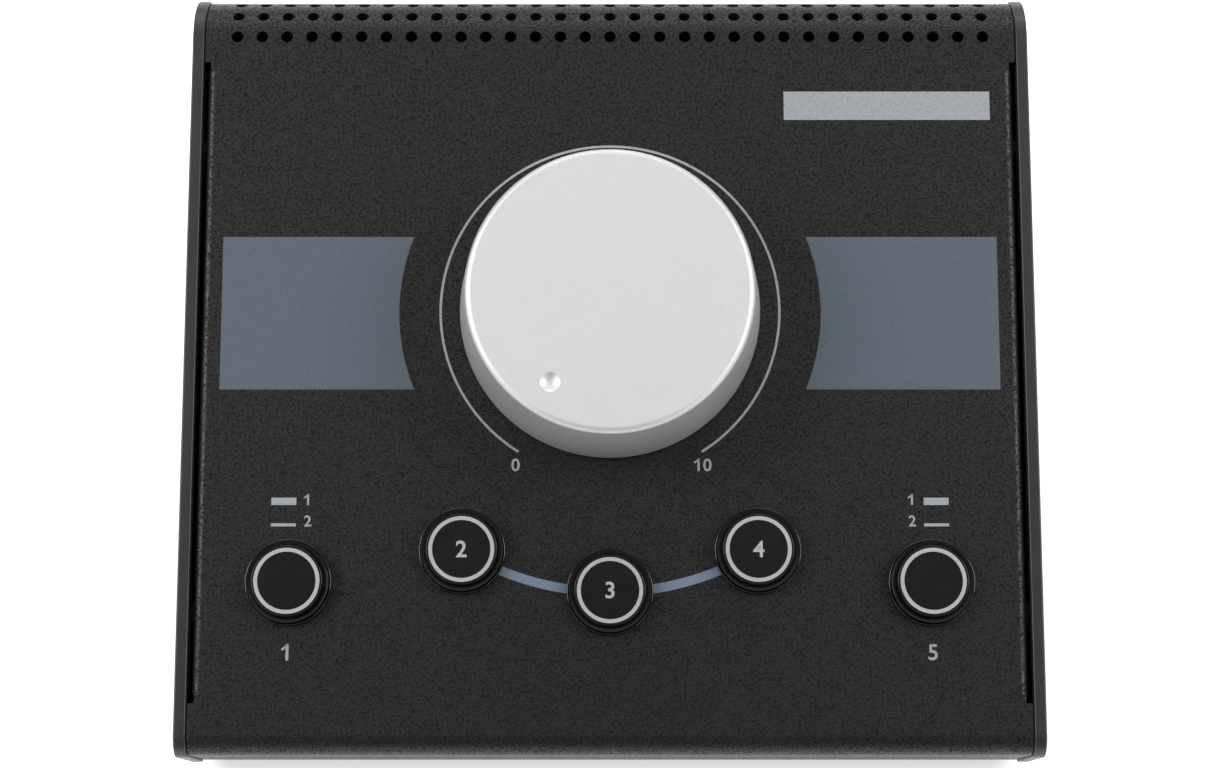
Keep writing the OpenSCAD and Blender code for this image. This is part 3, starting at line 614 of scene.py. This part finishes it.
for side, name in ((-1, "leftCheek"), (1, "rightCheek")):
    node = name.replace("Cheek", "_cheek")
    finishPiece(cheekPlate(side), name, finishes["cheek"], world, "enclosure", [node])
print("cheeks made")

# ---- Volume knob ----

# The dimple's rest is in degrees round from straight down
knob = {"foot": 24.7, "top": 23.1, "low": 0.7, "high": 16.5, "wall": 1.5, "roof": 2, "edge": 1.0,
        "footEdge": 0.25, "dimple": 1.6, "dimpleDepth": 0.5, "dimpleAt": 17.7, "rest": 32.2}


def knobShell():
    tall = knob["high"] - knob["low"]
    piece = primitive("cylinder", vertices=192, radius=knob["foot"], depth=tall,
                      location=(0, 0, knob["low"] + tall / 2))
    editing(piece)
    pick("faces", faceToward(2, 1))
    taper = knob["top"] / knob["foot"]
    bpy.ops.transform.resize(value=(taper, taper, 1), center_override=(0, 0, knob["high"]))
    for height, width in ((knob["high"], knob["edge"]), (knob["low"], knob["footEdge"])):
        pick("edges", edgeAt(2, height))
        bpy.ops.mesh.bevel(offset=width, segments=8, profile=0.5, affect="EDGES")
    pick("faces", faceToward(2, -1, knob["low"]))
    bpy.ops.mesh.inset(thickness=knob["wall"] - knob["footEdge"])
    bpy.ops.mesh.extrude_region_move(TRANSFORM_OT_translate={"value": (0, 0, tall - knob["roof"])})
    inner = (knob["top"] - knob["wall"]) / (knob["foot"] - knob["wall"])
    bpy.ops.transform.resize(value=(inner, inner, 1), center_override=(0, 0, knob["high"]))
    bpy.ops.object.mode_set(mode="OBJECT")
    deep, wide = knob["dimpleDepth"], knob["dimple"]
    ball = (wide ** 2 + deep ** 2) / (2 * deep)
    turn = math.radians(knob["rest"])
    cutWith(piece, [primitive("uv_sphere", segments=96, ring_count=64, radius=ball, location=(
        -knob["dimpleAt"] * math.sin(turn), -knob["dimpleAt"] * math.cos(turn),
        knob["high"] + ball - deep))])
    return piece


finishPiece(knobShell(), "knobShell", finishes["aluminium"], panelPlace, "volume_knob",
            ["knob_shell"])
print("knob made")

# ---- Push buttons ----

button = {"bezel": 7.1, "proud": 0.9, "bore": 6, "sleeve": 6.5, "sleeveDepth": 2, "bezelEdge": 0.15,
          "crest": 6.95, "rim": 6.82, "dish": 0.8, "drill": 12, "overlap": 0.1,
          "cap": 5.75, "capTop": 3, "capLow": -3.9, "capWall": 1, "capRoof": 1.2, "capEdge": 0.16,
          "boss": 2.9, "bossGap": 0.4, "plunger": 3.1, "grip": 2.6}


def buttonBezel():
    piece = primitive("cylinder", vertices=128, radius=button["bezel"], depth=button["proud"],
                      location=(0, 0, button["proud"] / 2))
    editing(piece)
    pick("faces", faceToward(2, -1))
    bpy.ops.mesh.inset(thickness=button["bezel"] - button["sleeve"])
    bpy.ops.mesh.extrude_region_move(TRANSFORM_OT_translate={"value": (0, 0, -button["sleeveDepth"])})
    pick("faces", faceToward(2, 1, button["proud"]))
    draw = button["crest"] / button["bezel"]
    bpy.ops.transform.resize(value=(draw, draw, 1), center_override=(0, 0, 0))
    bpy.ops.mesh.inset(thickness=button["crest"] - button["rim"])
    bpy.ops.mesh.inset(thickness=button["rim"] - button["bore"] + button["overlap"],
                       depth=-button["dish"])
    bpy.ops.object.mode_set(mode="OBJECT")
    cutWith(piece, [primitive("cylinder", vertices=128, radius=button["bore"], depth=button["drill"])])
    bevelEdges(piece, button["bezelEdge"], 4, 35)
    return piece


def buttonCap():
    tall = button["capTop"] - button["capLow"]
    piece = primitive("cylinder", vertices=128, radius=button["cap"], depth=tall,
                      location=(0, 0, button["capLow"] + tall / 2))
    bevelEdges(piece, button["capEdge"], 4, 60)
    editing(piece)
    pick("faces", faceToward(2, -1, button["capLow"]))
    bpy.ops.mesh.inset(thickness=button["capWall"] - button["capEdge"])
    bpy.ops.mesh.extrude_region_move(
        TRANSFORM_OT_translate={"value": (0, 0, tall - button["capRoof"])})
    bpy.ops.mesh.inset(thickness=button["cap"] - button["capWall"] - button["boss"])
    bpy.ops.mesh.extrude_region_move(TRANSFORM_OT_translate={
        "value": (0, 0, button["bossGap"] + button["capRoof"] - tall)})
    bpy.ops.object.mode_set(mode="OBJECT")
    wide, low = button["plunger"], button["capLow"] + button["bossGap"]
    cutWith(piece, [primitive("cube", size=1, scale=(wide, wide, 2 * button["grip"]),
                              location=(0, 0, low))])
    return piece


def copiesAtButtons(piece, name, material, node, onCaps):
    for place, (u, v) in buttonPlaces.items():
        body = place + "_button" if onCaps else "enclosure"
        finishPiece(copyOf(piece), name + place.capitalize(), finishes[material], onPanel(u, v),
                    body, [node + place])
    bpy.data.objects.remove(piece)


copiesAtButtons(buttonBezel(), "bezel", "glossBlack", "bezel_", False)
copiesAtButtons(buttonCap(), "cap", "capBlack", "cap_", True)
print("buttons made")

# ---- Return springs under the keys ----

# The foot's height is measured from the panel, and the travel is the keys' own
spring = {"outer": 2.7, "wire": 0.4, "foot": -14.2, "tall": 5.1, "travel": 2.5, "turns": 5,
          "wireSteps": 10, "turnSteps": 40}


def coiledSpring():
    wire = spring["wire"] / 2
    piece = primitive("circle", vertices=spring["wireSteps"], radius=wire,
                      location=(spring["outer"] - wire, 0, wire), rotation=(math.pi / 2, 0, 0))
    applyModifier(piece, "SCREW", axis="Z", angle=math.tau * spring["turns"], use_normal_calculate=True,
                  screw_offset=spring["tall"] - spring["wire"],
                  steps=spring["turns"] * spring["turnSteps"])
    editing(piece)
    bpy.ops.mesh.select_all(action="SELECT")
    bpy.ops.mesh.fill_holes(sides=spring["wireSteps"])
    bpy.ops.mesh.select_all(action="SELECT")
    bpy.ops.mesh.normals_make_consistent(inside=False)
    bpy.ops.object.mode_set(mode="OBJECT")
    return piece


for name, (u, v) in buttonPlaces.items():
    piece = finishPiece(coiledSpring(), "coil" + name.capitalize(), finishes["zinc"],
                        onPanel(u, v, spring["foot"]), "enclosure", ["spring_" + name])
    foot, head = (onPanel(u, v, spring["foot"] + rise).translation for rise in (0, spring["tall"]))
    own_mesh(piece)
print("springs made")

# ---- Sockets at the back ----

# Each is modelled on its own axis, z out of the case from the mouth
jack = {"bush": 4.6, "bore": 3.25, "box": (16, 15, 28), "face": -3.3, "end": 1.4, "lip": 0.25,
        "washer": 7, "washerThick": 0.6, "washerEdge": 0.12, "nutFlat": 12, "nutThick": 1.9,
        "nutCorner": 0.5, "nutEdge": 0.07, "grooves": (-0.55, -1.05)}
miniJack = {"bush": 3, "bore": 1.8, "box": (11, 11, 15), "face": -2.4, "end": 1.4, "lip": 0.2,
            "nut": 4.2, "nutThick": 1.6, "nutEdge": 0.2, "knurls": 44, "knurlFoot": 0.96,
            "grooves": (-0.45,)}
socket = {"edge": 0.3, "sunk": 1, "grooveOut": 0.03, "groove": 0.15, "gap": 0.05, "drill": 20}


def socketPlace(node):
    low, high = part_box(node)
    middle = (low + high) / 2
    return Matrix.Translation((middle.x, high.y, middle.z)) @ Matrix.Rotation(-math.pi / 2, 4, "X")


def socketBody(size):
    back = size["face"] - case["sheet"]
    piece = primitive("cube", size=1, scale=size["box"], location=(0, 0, back - size["box"][2] / 2))
    bevelEdges(piece, socket["edge"], 2)
    bushTall = socket["sunk"] - back
    bush = primitive("cylinder", vertices=64, radius=size["bush"], depth=bushTall,
                     location=(0, 0, -bushTall / 2))
    bevelEdges(bush, size["lip"], 3)
    for height in size["grooves"]:  # the first turns of the bushing's thread
        cutWith(bush, [primitive("torus", major_segments=64, minor_segments=8, location=(0, 0, height),
                                 rotation=(0, 0, math.pi / 64), minor_radius=socket["groove"],
                                 major_radius=size["bush"] + socket["grooveOut"])])
    combine(piece, bush, "UNION")
    deep = size["box"][2] - back - size["end"]
    cutWith(piece, [primitive("cylinder", vertices=64, radius=size["bore"], depth=2 * deep)])
    return piece


def boreFor(size):  # the hole that lets a nut or washer over the bushing
    return [primitive("cylinder", vertices=64, radius=size["bush"] + socket["gap"],
                      depth=socket["drill"])]


def hexNut(size):
    shape = {"radius": size["nutFlat"] / 2 / math.cos(math.pi / 6), "depth": size["nutThick"],
             "location": (0, 0, size["face"] + size["washerThick"] + size["nutThick"] / 2)}
    piece = primitive("cylinder", vertices=6, **shape)
    disc = primitive("cylinder", vertices=96, **shape)
    bevelEdges(disc, size["nutCorner"], 1, 60)
    combine(piece, disc, "INTERSECT")
    cutWith(piece, boreFor(size))
    bevelEdges(piece, size["nutEdge"], 2, 50)
    return piece


def flatWasher(size):
    piece = primitive("cylinder", vertices=96, radius=size["washer"], depth=size["washerThick"],
                      location=(0, 0, size["face"] + size["washerThick"] / 2))
    cutWith(piece, boreFor(size))
    bevelEdges(piece, size["washerEdge"], 3, 60)
    return piece


def knurledNut(size):
    count = 2 * size["knurls"]
    piece = primitive("cylinder", vertices=count, radius=size["nut"], depth=size["nutThick"],
                      location=(0, 0, size["face"] + size["nutThick"] / 2))
    editing(piece)
    pick("verts", lambda v: round(math.atan2(v.co.y, v.co.x) * count / math.tau) % 2 == 1)
    bpy.ops.transform.resize(value=(size["knurlFoot"], size["knurlFoot"], 1),
                             center_override=(0, 0, 0))
    bpy.ops.object.mode_set(mode="OBJECT")
    bevelEdges(piece, size["nutEdge"], 2, 60)
    cutWith(piece, boreFor(size))
    return piece


jackNodes = ["socket_" + str(i + 1) for i in range(8)]
jackPlaces = [socketPlace(node) for node in jackNodes]
jackAxes = [Matrix.Translation(place.translation / mm) @ place.to_3x3().to_4x4()
            for place in jackPlaces]  # the same places in millimetres
jackPattern = socketBody(jack)
for i, node in enumerate(jackNodes):
    finishPiece(copyOf(jackPattern), "jackSocket" + str(i + 1), finishes["blackNylon"], jackPlaces[i],
                "enclosure", [node])
bpy.data.objects.remove(jackPattern)
finishPiece(socketBody(miniJack), "miniSocket", finishes["blackNylon"], socketPlace("mini_socket"),
            "enclosure", ["mini_socket"])
finishPiece(repeated(hexNut(jack), jackAxes), "jackNuts", finishes["nickel"], world, "enclosure",
            ["socket_nuts"])
finishPiece(repeated(flatWasher(jack), jackAxes), "jackWashers", finishes["nickel"], world, "enclosure",
            ["socket_washers"])
finishPiece(knurledNut(miniJack), "miniNut", finishes["nickel"], socketPlace("mini_socket"),
            "enclosure", ["mini_nut"])
print("sockets made")

# ---- Rubber feet ----

foot = {"radius": 6, "stand": 5.6, "height": 3.5, "edge": 0.6, "recess": 3.25, "recessDeep": 2,
        "hole": 1.55, "drill": 20}


def rubberFoot():
    piece = primitive("cylinder", vertices=96, radius=foot["radius"], depth=foot["height"],
                      location=(0, 0, foot["height"] / 2))
    editing(piece)
    pick("faces", faceToward(2, -1))
    draft = foot["stand"] / foot["radius"]
    bpy.ops.transform.resize(value=(draft, draft, 1), center_override=(0, 0, 0))
    pick("edges", edgeAt(2, 0))
    bpy.ops.mesh.bevel(offset=foot["edge"], segments=5, profile=0.5, affect="EDGES")
    bpy.ops.object.mode_set(mode="OBJECT")
    for vertices, radius, depth in ((64, foot["recess"], 2 * foot["recessDeep"]),
                                    (48, foot["hole"], foot["drill"])):
        cutWith(piece, [primitive("cylinder", vertices=vertices, radius=radius, depth=depth)])
    return piece


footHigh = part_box("rubber_feet")[1] / mm
footX, footY = footHigh.x - foot["radius"], footHigh.y - foot["radius"]
footAxes = [Matrix.Translation((i * footX, j * footY, 0)) for i in (-1, 1) for j in (-1, 1)]
finishPiece(repeated(rubberFoot(), footAxes), "rubberFeet", finishes["rubber"], world, "enclosure",
            ["rubber_feet"])
print("feet made")

# ---- Prints ----

ink = {"thick": 0.03, "sunk": 0.01, "bold": 0.015}
flag = {"long": 0.34, "thick": 0.1, "lean": 38, "left": 0.05, "down": 0.15}  # in letter heights


def annulus(outer, inner, steps):
    piece = primitive("circle", vertices=steps, radius=outer, fill_type="NGON")
    editing(piece)
    bpy.ops.mesh.select_all(action="SELECT")
    bpy.ops.mesh.inset(thickness=outer - inner)
    bpy.ops.mesh.delete(type="FACE")
    bpy.ops.object.mode_set(mode="OBJECT")
    return piece


def arcPrint(radius, stroke, limit, outside):  # limit in degrees each way from straight down
    def isWithin(face):
        middle = face.calc_center_median()
        return abs(math.degrees(math.atan2(middle.x, -middle.y))) < limit

    piece = annulus(radius + stroke / 2, radius - stroke / 2, 192)
    editing(piece)
    along, across = math.cos(math.radians(limit)), math.sin(math.radians(limit))
    for side in (-1, 1):
        bpy.ops.mesh.select_all(action="SELECT")
        bpy.ops.mesh.bisect(plane_co=(0, 0, 0), plane_no=(along, side * across, 0))
    pick("faces", lambda face: isWithin(face) == outside)
    bpy.ops.mesh.delete(type="FACE")
    bpy.ops.object.mode_set(mode="OBJECT")
    return piece


def barPrint(u0, u1, v0, v1):
    return primitive("plane", size=1, scale=(abs(u1 - u0), abs(v1 - v0), 1),
                     location=((u0 + u1) / 2, (v0 + v1) / 2, 0))


def numeral(text, tall, u, v):
    deselectAll()
    bpy.ops.object.text_add()
    piece = bpy.context.active_object
    piece.data.body = text
    piece.data.offset = ink["bold"]
    bpy.ops.object.convert(target="MESH")
    scale = tall / piece.dimensions.y
    corners = [Vector(corner) for corner in piece.bound_box]
    if text[0] == "1":  # the plain stick gets a flag
        top, left = max(corner.y for corner in corners), min(corner.x for corner in corners)
        stroke = primitive("plane", size=1, scale=(flag["long"], flag["thick"], 1),
                           rotation=(0, 0, math.radians(flag["lean"])),
                           location=(left - flag["left"], top - flag["down"], 0))
        piece = joined([piece, stroke])
    middle = sum(corners, Vector()) / 8
    piece.matrix_world = Matrix.Translation((u, v, 0)) @ Matrix.Diagonal((scale, scale, 1, 1)) @ \
        Matrix.Translation(-middle)
    bpy.ops.object.transform_apply(location=True, rotation=True, scale=True)
    return piece


def printed(pieces, name, material, place, body="enclosure", height=0.0):
    piece = joined(pieces)
    applyModifier(piece, "SOLIDIFY", thickness=ink["thick"], offset=1)
    lift = Matrix.Translation(Vector((0, 0, height - ink["sunk"])) * mm)
    return finishPiece(piece, name, finishes[material], place @ lift, body)


# The dial's gap and the link's reach are in degrees each way from straight down
dial = {"radius": 27.9, "stroke": 0.4, "gap": 32.4, "endSize": 2.1, "endU": 15.4, "endV": -25.7}
marks = {"thick": (55.07, 51.0, -31.1, -32.3), "thin": (55.07, 51.0, -35.3, -35.8),
         "digitU": 49.1, "upV": -31.4, "downV": -34.9, "digit": 1.8,
         "low": 2.6, "lowU": 52.0, "lowV": -56.2}
plate = {"u": (29.0, 63.4), "v": (32.5, 37.4)}  # a plain pale bar
blocks = {"edge": 64, "inner": 27.76, "rear": 12.44, "front": -13.21, "hollow": 34.7,
          "drill": 1}
link = {"radius": 46.5, "width": 1.5, "angle": 31}
capRing = {"outer": 5.32, "inner": 4.7, "digit": 2.7}

pale = [arcPrint(dial["radius"], dial["stroke"], dial["gap"], True),
        numeral("0", dial["endSize"], -dial["endU"], dial["endV"]),
        numeral("10", dial["endSize"], dial["endU"], dial["endV"])]
for side in (-1, 1):
    for outer, inner, v0, v1 in (marks["thick"], marks["thin"]):
        pale.append(barPrint(side * outer, side * inner, v0, v1))
    pale.append(numeral("1", marks["digit"], side * marks["digitU"], marks["upV"]))
    pale.append(numeral("2", marks["digit"], side * marks["digitU"], marks["downV"]))
    pale.append(numeral("5" if side > 0 else "1", marks["low"], side * marks["lowU"], marks["lowV"]))
pale.append(barPrint(*plate["u"], *plate["v"]))
printed(pale, "palePrint", "paleInk", panelPlace)

for side, name in ((-1, "leftBlock"), (1, "rightBlock")):
    block = barPrint(side * blocks["edge"], side * blocks["inner"], blocks["rear"], blocks["front"])
    applyModifier(block, "SOLIDIFY", thickness=ink["thick"], offset=1)
    cutWith(block, [primitive("cylinder", vertices=256, radius=blocks["hollow"],
                               depth=blocks["drill"])])
    finishPiece(block, name, finishes["blueInk"], onPanel(0, 0, -ink["sunk"]), "enclosure")

printed([arcPrint(link["radius"], link["width"], link["angle"], False)], "linkBand", "bandInk",
        panelPlace)
digits = {"mono": "2", "mute": "3", "dim": "4"}
for name, (u, v) in buttonPlaces.items():
    shapes = [annulus(capRing["outer"], capRing["inner"], 128)]
    if name in digits:
        shapes.append(numeral(digits[name], capRing["digit"], 0, 0))
    printed(shapes, "capPrint" + name.capitalize(), "capInk", onPanel(u, v), name + "_button",
            button["capTop"])
rearInk = {"digit": 2, "out": 8.8, "up": 5.6}
rearFacing = Matrix(((-1, 0, 0), (0, 0, 1), (0, 1, 0))).transposed().to_4x4()
shapes = [numeral(str(8 - i), rearInk["digit"], -place.translation.x / mm - rearInk["out"],
                  place.translation.z / mm + rearInk["up"]) for i, place in enumerate(jackPlaces)]
rearFace = jackPlaces[0].translation.y + jack["face"] * mm
printed(shapes, "socketNumbers", "paleInk", Matrix.Translation((0, rearFace, 0)) @ rearFacing)
print("prints made")

# ---- Floor and lights ----

studio = {"floor": 8, "glow": 0.5, "world": 0.25}
softboxes = {  # size across and up in metres, place, radiance
    "overheadBox": (1.5, 1.1, (0, 0.44, 1.5), 0.58),
    "rearBox": (1.8, 0.7, (0, 1.4, 0.95), 2.9),
    "leftBox": (0.7, 0.7, (-1.1, 0, 1.05), 9),
    "rightBox": (0.7, 0.7, (1.1, 0, 1.05), 8),
    "frontLeftBox": (0.6, 0.6, (-1.0, -1.0, 0.5), 2.3),
    "frontRightBox": (0.6, 0.6, (1.0, -1.0, 0.5), 2.1),
}


def paperSweep():  # matt seamless paper on a light table: even and near white, with a faint tooth
    material, shader, place = newMaterial("seamlessPaper", Roughness=0.9)
    tooth = noise(material, place, 4, 2)
    wire(material, ramp(material, tooth, [(0.3, "#f0f0f0"), (0.7, "#f2f2f2")]), shader, "Base Color")
    shader.inputs["Emission Color"].default_value = linear("#ffffff")
    shader.inputs["Emission Strength"].default_value = studio["glow"]
    return material


floor = primitive("plane", size=studio["floor"])
floor.name = "floor"
floor.data.materials.append(paperSweep())
for name, (across, up, place, radiance) in softboxes.items():
    lamp = bpy.data.objects.new(name, bpy.data.lights.new(name, "AREA"))
    bpy.context.scene.collection.objects.link(lamp)
    lamp.data.shape = "RECTANGLE"
    lamp.data.size = across
    lamp.data.size_y = up
    lamp.data.energy = radiance * math.pi * across * up
    lamp.location = place
    lamp.rotation_euler = (-lamp.location).to_track_quat("-Z", "Y").to_euler()
bpy.context.scene.world = bpy.data.worlds.new("studio")
bpy.context.scene.world.use_nodes = True
background = bpy.context.scene.world.node_tree.nodes["Background"]
background.inputs["Color"].default_value = linear("#ffffff")
background.inputs["Strength"].default_value = studio["world"]
bpy.context.scene.view_settings.view_transform = "Standard"
print("studio lit")
